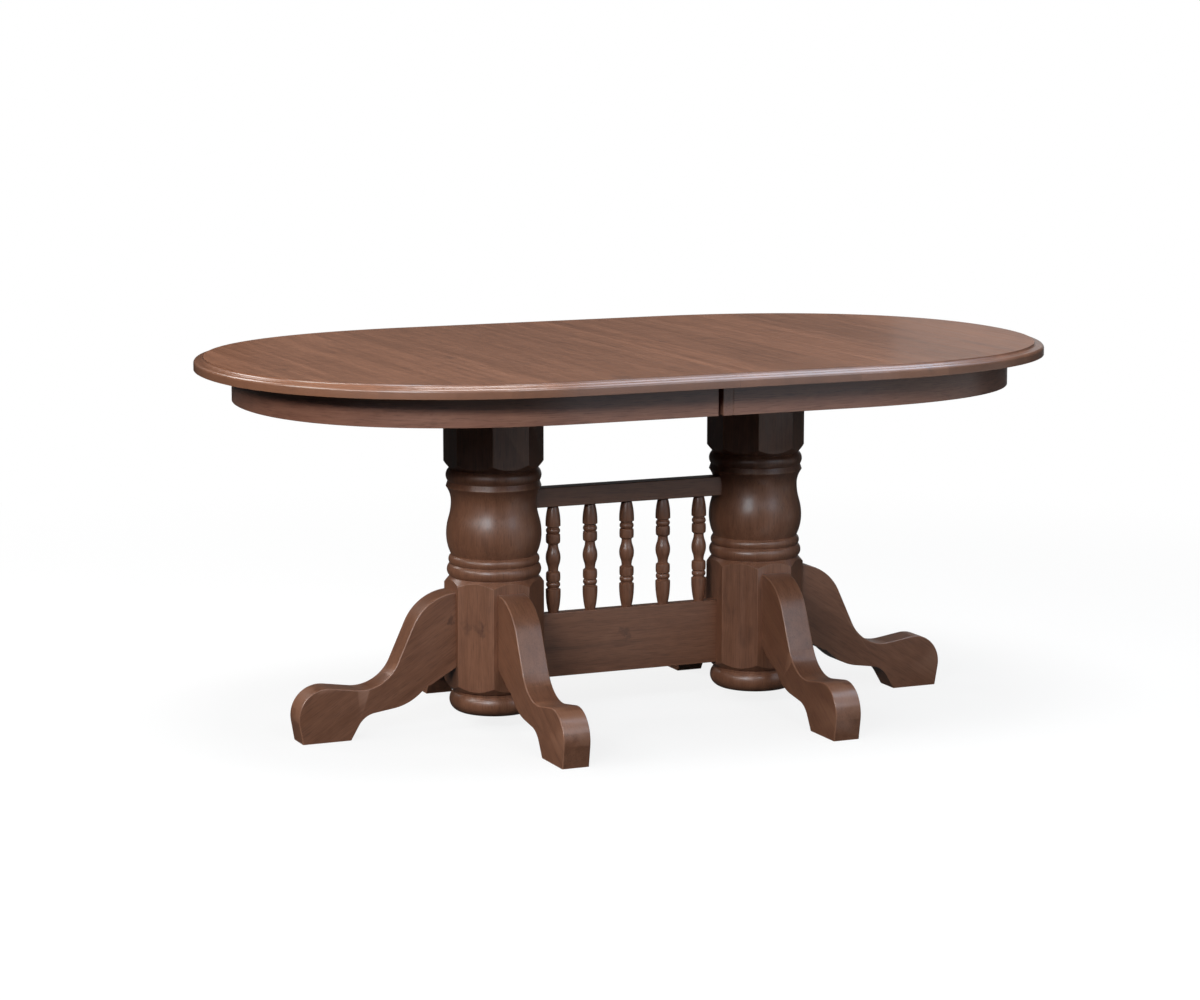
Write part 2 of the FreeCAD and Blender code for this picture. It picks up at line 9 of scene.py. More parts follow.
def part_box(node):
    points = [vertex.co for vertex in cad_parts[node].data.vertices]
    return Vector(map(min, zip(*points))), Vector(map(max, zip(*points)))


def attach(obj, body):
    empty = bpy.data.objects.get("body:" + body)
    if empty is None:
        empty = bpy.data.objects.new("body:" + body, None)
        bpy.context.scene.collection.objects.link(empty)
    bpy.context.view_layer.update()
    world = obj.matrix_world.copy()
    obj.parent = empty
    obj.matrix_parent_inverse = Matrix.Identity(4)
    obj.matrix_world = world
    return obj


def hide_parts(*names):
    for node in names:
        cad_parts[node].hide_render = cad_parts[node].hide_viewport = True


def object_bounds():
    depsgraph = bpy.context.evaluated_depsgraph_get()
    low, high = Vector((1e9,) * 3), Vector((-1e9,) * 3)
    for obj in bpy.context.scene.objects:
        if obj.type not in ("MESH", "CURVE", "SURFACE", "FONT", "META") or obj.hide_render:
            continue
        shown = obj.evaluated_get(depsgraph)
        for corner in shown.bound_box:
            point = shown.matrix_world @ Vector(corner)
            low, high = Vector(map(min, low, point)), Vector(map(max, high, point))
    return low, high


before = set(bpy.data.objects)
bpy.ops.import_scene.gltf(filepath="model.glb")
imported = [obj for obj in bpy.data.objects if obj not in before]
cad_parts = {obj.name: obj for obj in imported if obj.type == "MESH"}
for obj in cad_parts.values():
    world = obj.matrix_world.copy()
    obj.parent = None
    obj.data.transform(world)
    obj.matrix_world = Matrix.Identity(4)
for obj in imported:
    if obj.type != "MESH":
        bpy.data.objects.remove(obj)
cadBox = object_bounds()
print("frame loaded:", len(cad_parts), "nodes")


# Node helpers

def addNode(tree, kind, **settings):
    node = tree.nodes.new(kind)
    for key, value in settings.items():
        setattr(node, key, value)
    return node


def feed(tree, socket, source):
    if isinstance(source, bpy.types.NodeSocket):
        tree.links.new(source, socket)
    else:
        socket.default_value = source


def newGroup(name, inputs, outputs):
    tree = bpy.data.node_groups.new(name, "ShaderNodeTree")
    for label, kind in inputs:
        tree.interface.new_socket(label, in_out="INPUT", socket_type=kind)
    for label, kind in outputs:
        tree.interface.new_socket(label, in_out="OUTPUT", socket_type=kind)
    return tree, addNode(tree, "NodeGroupInput"), addNode(tree, "NodeGroupOutput")


def math2(tree, operation, a, b, clamp=False):
    node = addNode(tree, "ShaderNodeMath", operation=operation, use_clamp=clamp)
    feed(tree, node.inputs[0], a)
    feed(tree, node.inputs[1], b)
    return node.outputs[0]


def stretched(tree, vector, scale):
    node = addNode(tree, "ShaderNodeVectorMath", operation="MULTIPLY")
    feed(tree, node.inputs[0], vector)
    feed(tree, node.inputs[1], scale)
    return node.outputs[0]


def noise(tree, vector, layer):
    node = addNode(tree, "ShaderNodeTexNoise")
    feed(tree, node.inputs["Vector"], vector)
    node.inputs["Scale"].default_value = layer["scale"]
    node.inputs["Detail"].default_value = layer["detail"]
    node.inputs["Roughness"].default_value = layer["roughness"]
    node.inputs["Distortion"].default_value = layer["distortion"]
    return node.outputs[0]


def ramp(tree, value, low, high, toLow=0.0, toHigh=1.0):
    node = addNode(tree, "ShaderNodeMapRange", interpolation_type="SMOOTHSTEP")
    feed(tree, node.inputs["Value"], value)
    node.inputs["From Min"].default_value = low
    node.inputs["From Max"].default_value = high
    node.inputs["To Min"].default_value = toLow
    node.inputs["To Max"].default_value = toHigh
    return node.outputs["Result"]


def mixColor(tree, factor, a, b, blend="MIX"):
    node = addNode(tree, "ShaderNodeMix", data_type="RGBA", blend_type=blend)
    feed(tree, node.inputs[0], factor)
    feed(tree, node.inputs[6], a)
    feed(tree, node.inputs[7], b)
    return node.outputs[2]


# Wood grain. The grain vector is in metres: across, through, and along the fibres.

grainLayers = {
    "figure": {"stretch": 0.10, "scale": 17, "detail": 4, "roughness": 0.55, "distortion": 0.5},
    "mottle": {"stretch": 0.55, "scale": 24, "detail": 3, "roughness": 0.6, "distortion": 0.8},
    "streaks": {"stretch": 0.035, "scale": 70, "detail": 2, "roughness": 0.5, "distortion": 0.2},
    "fibres": {"stretch": 0.05, "scale": 400, "detail": 3, "roughness": 0.7, "distortion": 0.0},
    "pores": {"stretch": 0.05, "scale": 560, "detail": 2, "roughness": 0.5, "distortion": 0.0},
    "clouds": {"stretch": 0.42, "scale": 9, "detail": 3, "roughness": 0.6, "distortion": 1.1},
}
# Ramps, as the range read and then the range given. One ramp lightens small rounds, as rubbed stain and a
# painted highlight; another darkens small hollows, as pooled stain and painted shade
grainRamps = {
    "pores": (0.50, 0.72, 0.0, 1.0), "clouds": (0.60, 0.80, 0.0, 1.0), "knots": (0.35, 0.65, 0.35, 0.9),
    "wornAndHighlight": (0.25, 0.95, 0.0, 0.45), "filledAndShaded": (-1.0, -0.3, 0.55, 0.0), "roughness": (0.3, 0.7, 0.33, 0.42),
}
grainDepths = {"pores": 0.42, "wornAndHighlightStreaks": 0.9}
boardLook = {"swayPace": 2.3, "sway": 0.22, "jump": (3.1, 2.3, 4.7)}


def buildWoodGrain():
    tree, given, result = newGroup(
        "woodGrain",
        [("Grain", "NodeSocketVector"), ("Bending", "NodeSocketFloat"), ("Knots", "NodeSocketFloat"),
         ("Light Stain", "NodeSocketColor"), ("Dark Stain", "NodeSocketColor"),
         ("Smudge And Shade Stain", "NodeSocketColor"), ("Worn And Highlight Stain", "NodeSocketColor"),
         ("Figure", "NodeSocketFloat"), ("Fibres", "NodeSocketFloat"), ("Smudges", "NodeSocketFloat")],
        [("Color", "NodeSocketColor"), ("Roughness", "NodeSocketFloat"), ("Height", "NodeSocketFloat")])

    def layered(name):
        layer = grainLayers[name]
        return noise(tree, stretched(tree, given.outputs["Grain"], (1, 1, layer["stretch"])), layer)

    def shift(value, size):
        return math2(tree, "MULTIPLY", math2(tree, "SUBTRACT", value, 0.5), size)

    figure, mottle, streaks, fibres, pores, clouds = [layered(name) for name in grainLayers]
    broad = math2(tree, "ADD", shift(figure, given.outputs["Figure"]), shift(mottle, given.outputs["Figure"]))
    fine = math2(tree, "ADD", shift(streaks, given.outputs["Fibres"]), shift(fibres, given.outputs["Fibres"]))
    tone = math2(tree, "ADD", math2(tree, "ADD", broad, fine), 0.5, True)
    stained = mixColor(tree, tone, given.outputs["Dark Stain"], given.outputs["Light Stain"])
    poreMask = ramp(tree, pores, *grainRamps["pores"])
    poreDepth = math2(tree, "MULTIPLY", given.outputs["Fibres"], grainDepths["pores"])
    poreShade = math2(tree, "MULTIPLY", poreMask, poreDepth)
    pored = mixColor(tree, poreShade, stained, given.outputs["Smudge And Shade Stain"])
    cloudMask = math2(tree, "MULTIPLY", ramp(tree, clouds, *grainRamps["clouds"]), given.outputs["Smudges"])
    knotMask = math2(tree, "MULTIPLY", given.outputs["Knots"], ramp(tree, mottle, *grainRamps["knots"]))
    smudge = math2(tree, "MAXIMUM", cloudMask, knotMask)
    smudged = mixColor(tree, smudge, pored, given.outputs["Smudge And Shade Stain"])
    # Small outward rounds turn lighter: rubbed stain, and a painted highlight along the arrises
    streakedBending = math2(tree, "ADD", given.outputs["Bending"], shift(streaks, grainDepths["wornAndHighlightStreaks"]))
    wornAndHighlight = ramp(tree, streakedBending, *grainRamps["wornAndHighlight"])
    rubbedAndHighlighted = mixColor(tree, wornAndHighlight, smudged, given.outputs["Worn And Highlight Stain"])
    # Small hollows turn darker: stain pooled there, and painted shade in the creases
    filledAndShaded = ramp(tree, given.outputs["Bending"], *grainRamps["filledAndShaded"])
    feed(tree, result.inputs["Color"], mixColor(tree, filledAndShaded, rubbedAndHighlighted, given.outputs["Smudge And Shade Stain"]))
    feed(tree, result.inputs["Roughness"], ramp(tree, streaks, *grainRamps["roughness"]))
    feed(tree, result.inputs["Height"], math2(tree, "SUBTRACT", fibres, poreMask))
    return tree


def buildBoards():
    tree, given, result = newGroup(
        "gluedBoards",
        [("Grain", "NodeSocketVector"), ("Board Width", "NodeSocketFloat")],
        [("Grain", "NodeSocketVector"), ("Tone", "NodeSocketFloat")])
    parts = addNode(tree, "ShaderNodeSeparateXYZ")
    feed(tree, parts.inputs[0], given.outputs["Grain"])
    count = math2(tree, "DIVIDE", parts.outputs[0], given.outputs["Board Width"])
    wave = math2(tree, "SINE", math2(tree, "MULTIPLY", count, boardLook["swayPace"]), 0)
    sway = math2(tree, "MULTIPLY", wave, boardLook["sway"])
    board = math2(tree, "FLOOR", math2(tree, "ADD", count, sway), 0)
    pick = addNode(tree, "ShaderNodeTexWhiteNoise", noise_dimensions="1D")
    feed(tree, pick.inputs["W"], board)
    move = addNode(tree, "ShaderNodeVectorMath", operation="MULTIPLY_ADD")
    feed(tree, move.inputs[0], pick.outputs["Color"])
    move.inputs[1].default_value = boardLook["jump"]
    feed(tree, move.inputs[2], given.outputs["Grain"])
    feed(tree, result.inputs["Grain"], move.outputs[0])
    feed(tree, result.inputs["Tone"], pick.outputs["Value"])
    return tree


woodGrain = buildWoodGrain()
gluedBoards = buildBoards()
print("shader groups built")


# Materials

# The lighter colour for rounds is rubbed stain and a painted highlight; the dark smudging colour marks pores,
# smudges and knots, and paints shade in small hollows
stainLook = {
    "light": (0.298, 0.131, 0.074, 1), "dark": (0.163, 0.0665, 0.0365, 1), "smudge": (0.060, 0.028, 0.020, 1),
    "wornAndHighlight": (0.36, 0.175, 0.108, 1), "figure": 0.75, "fibres": 0.85, "smudges": 0.60,
    "bump": 0.05, "bumpDepth": 0.0004, "specular": 0.40, "coat": 0.30, "coatRoughness": 0.24,
}
knotLook = {
    "cloud": {"scale": 85.0, "detail": 3, "roughness": 0.5, "distortion": 0.0}, "cloudRange": (0.3, 0.7),
    "ragged": 0.009, "depth": 0.75,
    "spots": (((-0.374, -0.053, 0.214), 0.016), ((-0.353, -0.074, 0.212), 0.018),
              ((-0.0076, -0.0135, 0.168), 0.018), ((-0.401, -0.0284, 0.225), 0.015)),
}
# The aprons and seam rails take the same stain painted lighter, as painted light for the light they catch;
# their heavier coat is real gloss
apronPaintedLightLook = {**stainLook, "light": (0.380, 0.174, 0.114, 1), "dark": (0.208, 0.0885, 0.057, 1), "coat": 0.7}
topLook = {
    **stainLook, "light": (0.300, 0.132, 0.073, 1), "dark": (0.164, 0.0675, 0.036, 1),
    "boardWidth": 0.118, "boardContrast": 0.16, "figure": 0.55, "fibres": 0.95, "smudges": 0.55,
    "filledEdge": (0.7612, 0.7618), "edgeFibres": 0.06, "edgeCoat": 1.0, "coatRoughness": 0.17,
}
slideLook = {
    "light": (0.52, 0.34, 0.18, 1), "dark": (0.38, 0.22, 0.105, 1), "smudge": (0.22, 0.12, 0.06, 1),
    "wornAndHighlight": (0.58, 0.40, 0.23, 1), "figure": 0.8, "fibres": 0.6, "smudges": 0.3,
    "bump": 0.15, "bumpDepth": 0.0005, "specular": 0.25, "coat": 0.0, "coatRoughness": 0.3,
}
steelLook = {
    "bright": (0.62, 0.61, 0.58, 1), "dull": (0.42, 0.41, 0.40, 1), "roughness": (0.3, 0.7, 0.42, 0.26),
    "patches": {"scale": 180, "detail": 4, "roughness": 0.6, "distortion": 0.4},
}
varnishInputs = {
    "Light Stain": "light", "Dark Stain": "dark", "Smudge And Shade Stain": "smudge", "Worn And Highlight Stain": "wornAndHighlight",
    "Figure": "figure", "Smudges": "smudges",
}


def newMaterial(name):
    material = bpy.data.materials.new(name)
    material.use_nodes = True
    return material, material.node_tree, material.node_tree.nodes["Principled BSDF"]


def varnish(tree, shader, grain, look, tone=None, bending=None, marks=None, flat=None):
    wood = addNode(tree, "ShaderNodeGroup", node_tree=woodGrain)
    feed(tree, wood.inputs["Grain"], grain)
    for label, key in varnishInputs.items():
        wood.inputs[label].default_value = look[key]
    fibres, coat, relief = look["fibres"], look["coat"], wood.outputs["Height"]
    if flat is not None:
        fibres = ramp(tree, flat, 0, 1, look["edgeFibres"], look["fibres"])
        coat = ramp(tree, flat, 0, 1, look["edgeCoat"], look["coat"])
        relief = math2(tree, "MULTIPLY", relief, flat)
    feed(tree, wood.inputs["Fibres"], fibres)
    if bending is not None:
        feed(tree, wood.inputs["Bending"], bending)
    if marks is not None:
        feed(tree, wood.inputs["Knots"], marks)
    color = wood.outputs["Color"]
    if tone is not None:
        shade = ramp(tree, tone, 0, 1, 1 - look["boardContrast"] / 2, 1 + look["boardContrast"] / 2)
        color = mixColor(tree, 1.0, color, shade, "MULTIPLY")
    bump = addNode(tree, "ShaderNodeBump")
    bump.inputs["Strength"].default_value = look["bump"]
    bump.inputs["Distance"].default_value = look["bumpDepth"]
    feed(tree, bump.inputs["Height"], relief)
    feed(tree, shader.inputs["Base Color"], color)
    feed(tree, shader.inputs["Roughness"], wood.outputs["Roughness"])
    feed(tree, shader.inputs["Normal"], bump.outputs["Normal"])
    shader.inputs["Specular IOR Level"].default_value = look["specular"]
    feed(tree, shader.inputs["Coat Weight"], coat)
    shader.inputs["Coat Roughness"].default_value = look["coatRoughness"]


def grainAttribute(tree):
    return addNode(tree, "ShaderNodeAttribute", attribute_name="grain").outputs["Vector"]


def bendingAttribute(tree):
    return addNode(tree, "ShaderNodeAttribute", attribute_name="bending").outputs["Fac"]


def objectGrain(tree, order):
    # Object coordinates in the order across, through, along
    place = addNode(tree, "ShaderNodeTexCoord")
    apart = addNode(tree, "ShaderNodeSeparateXYZ")
    together = addNode(tree, "ShaderNodeCombineXYZ")
    feed(tree, apart.inputs[0], place.outputs["Object"])
    for target, axis in enumerate(order):
        feed(tree, together.inputs[target], apart.outputs["xyz".index(axis)])
    return together.outputs[0]


def knotMarks(tree):
    # Dark ragged marks at single places, by the distance from each
    place = addNode(tree, "ShaderNodeTexCoord").outputs["Object"]
    cloud = noise(tree, place, knotLook["cloud"])
    ragged = ramp(tree, cloud, *knotLook["cloudRange"], -knotLook["ragged"], knotLook["ragged"])
    marks = 0.0
    for spot, radius in knotLook["spots"]:
        apart = addNode(tree, "ShaderNodeVectorMath", operation="DISTANCE")
        feed(tree, apart.inputs[0], place)
        apart.inputs[1].default_value = spot
        reach = math2(tree, "ADD", apart.outputs["Value"], ragged)
        marks = math2(tree, "MAXIMUM", marks, ramp(tree, reach, 0.0, radius, knotLook["depth"], 0.0))
    return marks


def makeStainedWood(name, look):
    material, tree, shader = newMaterial(name)
    varnish(tree, shader, grainAttribute(tree), look, bending=bendingAttribute(tree), marks=knotMarks(tree))
    return material


def makeTopWood():
    material, tree, shader = newMaterial("topWood")
    boards = addNode(tree, "ShaderNodeGroup", node_tree=gluedBoards)
    feed(tree, boards.inputs["Grain"], grainAttribute(tree))
    boards.inputs["Board Width"].default_value = topLook["boardWidth"]
    place = addNode(tree, "ShaderNodeSeparateXYZ")
    feed(tree, place.inputs[0], addNode(tree, "ShaderNodeTexCoord").outputs["Object"])
    flat = ramp(tree, place.outputs["Z"], *topLook["filledEdge"], 0, 1)
    varnish(tree, shader, boards.outputs["Grain"], topLook, boards.outputs["Tone"], flat=flat)
    return material


def makeSlideWood(name, order):
    material, tree, shader = newMaterial(name)
    varnish(tree, shader, objectGrain(tree, order), slideLook)
    return material


def makeSteel():
    material, tree, shader = newMaterial("zincSteel")
    place = addNode(tree, "ShaderNodeTexCoord").outputs["Object"]
    patches = noise(tree, place, steelLook["patches"])
    feed(tree, shader.inputs["Base Color"], mixColor(tree, patches, steelLook["dull"], steelLook["bright"]))
    feed(tree, shader.inputs["Roughness"], ramp(tree, patches, *steelLook["roughness"]))
    shader.inputs["Metallic"].default_value = 1.0
    return material


stainedWood = makeStainedWood("stainedWood", stainLook)
# Aprons and seam rails: the stain painted lighter, as painted light
apronPaintedLightWood = makeStainedWood("apronPaintedLightWood", apronPaintedLightLook)
topWood = makeTopWood()
slideWoodAlongX = makeSlideWood("slideWoodAlongX", "yzx")
slideWoodAlongY = makeSlideWood("slideWoodAlongY", "xzy")
zincSteel = makeSteel()
print("materials built")


# Mesh helpers

# The two bend scales set how tight a round or hollow must be to get the lighter edge (rubbed stain and
# painted highlight) or the darker hollow (pooled stain and painted shade)
meshCare = {
    "weld": 0.00001, "flatAngle": math.radians(0.05), "sharpAngle": math.radians(28), "arrisSteps": 3,
    "straight": 0.999, "wornAndHighlightBend": 400.0, "hollowBend": 900.0, "seedShift": (0.731, 1.130, 0.517),
}


def newGeometryTree(name, inputs):
    tree = bpy.data.node_groups.new(name, "GeometryNodeTree")
    tree.interface.new_socket("Geometry", in_out="INPUT", socket_type="NodeSocketGeometry")
    for label, kind in inputs:
        tree.interface.new_socket(label, in_out="INPUT", socket_type=kind)
    tree.interface.new_socket("Geometry", in_out="OUTPUT", socket_type="NodeSocketGeometry")
    return tree, addNode(tree, "NodeGroupInput"), addNode(tree, "NodeGroupOutput")


def setInputs(modifier, values):
    for item in modifier.node_group.interface.items_tree:
        if item.in_out == "INPUT" and item.name in values:
            modifier[item.identifier] = values[item.name]


def finishTree(tree, given, result, geometry):
    real = addNode(tree, "GeometryNodeRealizeInstances")
    feed(tree, real.inputs["Geometry"], geometry)
    coat = addNode(tree, "GeometryNodeSetMaterial")
    feed(tree, coat.inputs["Geometry"], real.outputs["Geometry"])
    feed(tree, coat.inputs["Material"], given.outputs["Wood"])
    feed(tree, result.inputs["Geometry"], coat.outputs["Geometry"])


def grownMesh(name, points, radii, tree, values):
    # The plain mesh that a geometry tree grows on a line of points
    curve = bpy.data.curves.new(name, "CURVE")
    curve.dimensions = "3D"
    spline = curve.splines.new("POLY")
    spline.points.add(len(points) - 1)
    for point, place, radius in zip(spline.points, points, radii):
        point.co = (*place, 1)
        point.radius = radius
    source = bpy.data.objects.new(name, curve)
    bpy.context.collection.objects.link(source)
    modifier = source.modifiers.new(name, "NODES")
    modifier.node_group = tree
    setInputs(modifier, values)
    seen = source.evaluated_get(bpy.context.evaluated_depsgraph_get())
    mesh = bpy.data.meshes.new_from_object(seen)
    mesh.name = name
    bpy.data.objects.remove(source)
    return mesh


def shadeByAngle(shape):
    for face in shape.faces:
        face.smooth = True
    for edge in shape.edges:
        edge.smooth = edge.calc_face_angle(0) < meshCare["sharpAngle"]


def newPiece(name, mesh):
    piece = bpy.data.objects.new(name, mesh)
    bpy.context.collection.objects.link(piece)
    return piece


def plainMesh(piece):
    # Swaps the piece's modifiers for the mesh that they make
    seen = piece.evaluated_get(bpy.context.evaluated_depsgraph_get())
    mesh = bpy.data.meshes.new_from_object(seen)
    piece.modifiers.clear()
    piece.data = mesh
    mesh.name = piece.name


def mergedCopy(node, name, arris=0.0, chosen=None):
    shape = bmesh.new()
    shape.from_mesh(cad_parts[node].data)
    bmesh.ops.remove_doubles(shape, verts=shape.verts, dist=meshCare["weld"])
    bmesh.ops.dissolve_limit(shape, angle_limit=meshCare["flatAngle"], verts=shape.verts, edges=shape.edges)
    weight = shape.edges.layers.float.new("bevel_weight_edge")
    shadeByAngle(shape)
    for edge in shape.edges:
        if chosen is not None and not edge.smooth and chosen(edge):
            edge[weight] = 1.0
    mesh = bpy.data.meshes.new(name)
    shape.to_mesh(mesh)
    shape.free()
    piece = newPiece(name, mesh)
    if arris:
        rounding = piece.modifiers.new("arris", "BEVEL")
        rounding.width = arris
        rounding.segments = meshCare["arrisSteps"]
        rounding.limit_method = "WEIGHT"
        rounding.offset_type = "WIDTH"
        rounding.use_clamp_overlap = False
        rounding.harden_normals = True
        plainMesh(piece)
    return piece


def meshPoints(piece):
    flat = np.zeros(len(piece.data.vertices) * 3, np.float32)
    piece.data.vertices.foreach_get("co", flat)
    return flat.reshape(-1, 3)


def setGrain(piece, across, through, along, seed):
    shift = np.array(meshCare["seedShift"]) * seed
    grain = np.stack((across, through, along), axis=1) + shift
    attribute = piece.data.attributes.new("grain", "FLOAT_VECTOR", "POINT")
    attribute.data.foreach_set("vector", grain.astype(np.float32).ravel())


def setBending(piece):
    # How tightly the surface bends at each point: 1 on a small outward round, -1 in a small hollow
    shape = bmesh.new()
    shape.from_mesh(piece.data)
    bends = np.zeros(len(shape.edges))
    for index, edge in enumerate(shape.edges):
        area = sum(face.calc_area() for face in edge.link_faces)
        if area > 0:
            bends[index] = edge.calc_face_angle_signed(0) * edge.calc_length() * 2 / area
    shape.edges.index_update()
    bending = np.zeros(len(shape.verts), np.float32)
    for index, vertex in enumerate(shape.verts):
        near = [bends[edge.index] for edge in vertex.link_edges]
        outward, inward = max(near), min(near)
        bending[index] = outward / meshCare["wornAndHighlightBend"] if outward > -inward else inward / meshCare["hollowBend"]
    shape.free()
    # The value lightens the stain on small rounds, with a painted highlight, and darkens it in small hollows,
    # with painted shade
    attribute = piece.data.attributes.new("bending", "FLOAT", "POINT")
    attribute.data.foreach_set("value", np.clip(bending, -1, 1))


def settle(piece, body, slot, material, *nodes):
    setBending(piece)
    piece.data.materials.clear()
    piece.data.materials.append(material)
    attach(piece, body)
    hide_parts(*nodes)


def edgeRun(edge):
    return (edge.verts[1].co - edge.verts[0].co).normalized()


def runsAlong(axis, shortest):
    def chosen(edge):
        return edge.calc_length() > shortest and abs(edgeRun(edge)[axis]) > meshCare["straight"]
    return chosen


# Top and aprons

outline = {"straightSide": 0.587, "sideHandle": 0.3596, "tipHandle": 0.3265, "steps": 90}
rim = {"Round": 0.0070, "Ledge": 0.0072, "Cove": 0.0058, "Thickness": 0.0254, "Arc Steps": 8}
seamHoles = {"radius": 0.00505, "depth": 0.0153, "places": (-0.320, -0.060, 0.060, 0.320), "segments": 24}
topPieces = {"seed": 0}
apronPieces = {"arris": 0.0012, "seeds": {"left": 1, "right": 5}, "railSeedStep": 2}


def outlinePath():
    # Points and lengths along the rim of the +X half, from the front seam to the back seam
    low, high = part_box("top_right")
    side = outline["straightSide"] / 2
    front = np.array((side, low.y))
    tip = np.array((high.x, 0.0))
    lead = front + (outline["sideHandle"], 0)
    lean = tip - (0, outline["tipHandle"])
    t = np.linspace(0, 1, outline["steps"])[:, None]
    curve = (1 - t) ** 3 * front + 3 * (1 - t) ** 2 * t * lead + 3 * (1 - t) * t ** 2 * lean + t ** 3 * tip
    along = np.linspace(0, side, outline["steps"], endpoint=False)
    straight = np.stack((along, np.full(outline["steps"], low.y)), 1)
    quarter = np.concatenate((straight, curve))
    path = np.concatenate((quarter, (quarter * (1, -1))[::-1][1:]))
    steps = np.linalg.norm(np.diff(path, axis=0), axis=1)
    return path, np.concatenate(((0,), np.cumsum(steps)))


def alongOutline(points, side):
    path, lengths = outlinePath()
    flat = points[:, :2] * (side, side)
    gaps = np.linalg.norm(flat[:, None, :] - path[None, :, :], axis=2)
    nearest = np.argmin(gaps, axis=1)
    tangent = np.gradient(path, axis=0)
    tangent /= np.linalg.norm(tangent, axis=1)[:, None]
    beyond = np.sum((flat - path[nearest]) * tangent[nearest], axis=1)
    return lengths[nearest] + beyond, gaps[np.arange(len(flat)), nearest]


def buildRim():
    # Sweeps the moulded edge along the outline: the upright face, the round, the ledge and the cove
    tree, given, result = newGeometryTree("mouldedRim", [
        ("Round", "NodeSocketFloat"), ("Ledge", "NodeSocketFloat"), ("Cove", "NodeSocketFloat"),
        ("Thickness", "NodeSocketFloat"), ("Arc Steps", "NodeSocketInt"), ("Wood", "NodeSocketMaterial")])
    rounding, cove = given.outputs["Round"], given.outputs["Cove"]
    ledgeHeight = math2(tree, "SUBTRACT", given.outputs["Thickness"], cove)
    faceHeight = math2(tree, "SUBTRACT", ledgeHeight, rounding)
    coveStart = math2(tree, "ADD", rounding, given.outputs["Ledge"])

    def at(inset, height):
        # The sweep lays a profile's x outward and its y downward
        place = addNode(tree, "ShaderNodeCombineXYZ")
        feed(tree, place.inputs["X"], math2(tree, "MULTIPLY", inset, -1))
        feed(tree, place.inputs["Y"], math2(tree, "MULTIPLY", height, -1))
        return place.outputs[0]

    def straight(start, end):
        run = addNode(tree, "GeometryNodeCurvePrimitiveLine")
        feed(tree, run.inputs["Start"], start)
        feed(tree, run.inputs["End"], end)
        return run.outputs["Curve"]

    def bend(center, radius, first):
        turn = addNode(tree, "GeometryNodeCurveArc")
        feed(tree, turn.inputs["Resolution"], given.outputs["Arc Steps"])
        feed(tree, turn.inputs["Radius"], radius)
        turn.inputs["Start Angle"].default_value = first
        turn.inputs["Sweep Angle"].default_value = math.pi / 2
        move = addNode(tree, "GeometryNodeTransform")
        feed(tree, move.inputs["Geometry"], turn.outputs["Curve"])
        feed(tree, move.inputs["Translation"], center)
        return move.outputs["Geometry"]

    profile = addNode(tree, "GeometryNodeJoinGeometry")
    for part in (straight(at(0.0, 0.0), at(0.0, faceHeight)),
                 bend(at(rounding, faceHeight), rounding, -math.pi / 2),
                 straight(at(rounding, ledgeHeight), at(coveStart, ledgeHeight)),
                 bend(at(coveStart, given.outputs["Thickness"]), cove, math.pi / 2)):
        tree.links.new(part, profile.inputs[0])
    upright = addNode(tree, "GeometryNodeSetCurveNormal", mode="Z_UP")
    feed(tree, upright.inputs["Curve"], given.outputs["Geometry"])
    sweep = addNode(tree, "GeometryNodeCurveToMesh")
    feed(tree, sweep.inputs["Curve"], upright.outputs["Curve"])
    feed(tree, sweep.inputs["Profile Curve"], profile.outputs["Geometry"])
    weld = addNode(tree, "GeometryNodeMergeByDistance")
    feed(tree, weld.inputs["Geometry"], sweep.outputs["Mesh"])
    weld.inputs["Distance"].default_value = meshCare["weld"]
    finishTree(tree, given, result, weld.outputs["Geometry"])
    return tree


def roundTrip(verts, a, b):
    # The points in turn round their middle, seen along the third axis
    middle = sum((vertex.co for vertex in verts), Vector()) / len(verts)
    return sorted(verts, key=lambda vertex: math.atan2(vertex.co[b] - middle[b], vertex.co[a] - middle[a]))


def makeTop(half, side):
    name = "top" + half.capitalize()
    low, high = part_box("top_" + half)
    path, _ = outlinePath()
    seam = low.x if side > 0 else -high.x
    points = [(max(x, seam), y, low.z) for x, y in path]
    mesh = grownMesh(name, points, [1.0] * len(points), mouldedRim, {**rim, "Wood": topWood})
    shape = bmesh.new()
    shape.from_mesh(mesh)
    near = meshCare["weld"]
    shape.faces.new(roundTrip([v for v in shape.verts if abs(v.co.z - low.z) < near], 0, 1))
    shape.faces.new(roundTrip([v for v in shape.verts if abs(v.co.z - high.z) < near], 0, 1))
    shape.faces.new(roundTrip([v for v in shape.verts if abs(v.co.x - seam) < near], 1, 2))
    turn = Matrix.Rotation(0 if side > 0 else math.pi, 3, "Z")
    bmesh.ops.rotate(shape, cent=(0, 0, 0), verts=shape.verts, matrix=turn)
    bmesh.ops.recalc_face_normals(shape, faces=shape.faces)
    shadeByAngle(shape)
    shape.to_mesh(mesh)
    shape.free()
    return newPiece(name, mesh)


def cutSeamHoles(board):
    low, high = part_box("top_right")
    shape = bmesh.new()
    radius, depth = seamHoles["radius"], 2 * seamHoles["depth"]
    for y in seamHoles["places"]:
        turn = Matrix.Translation((low.x, y, (low.z + high.z) / 2)) @ Matrix.Rotation(math.pi / 2, 4, "Y")
        bmesh.ops.create_cone(shape, cap_ends=True, segments=seamHoles["segments"],
                              radius1=radius, radius2=radius, depth=depth, matrix=turn)
    mesh = bpy.data.meshes.new("seamHoles")
    shape.to_mesh(mesh)
    shape.free()
    drill = newPiece("seamHoles", mesh)
    cut = board.modifiers.new("seamHoles", "BOOLEAN")
    cut.operation = "DIFFERENCE"
    cut.object = drill
    plainMesh(board)
    bpy.data.objects.remove(drill)


def everyEdge(edge):
    return True


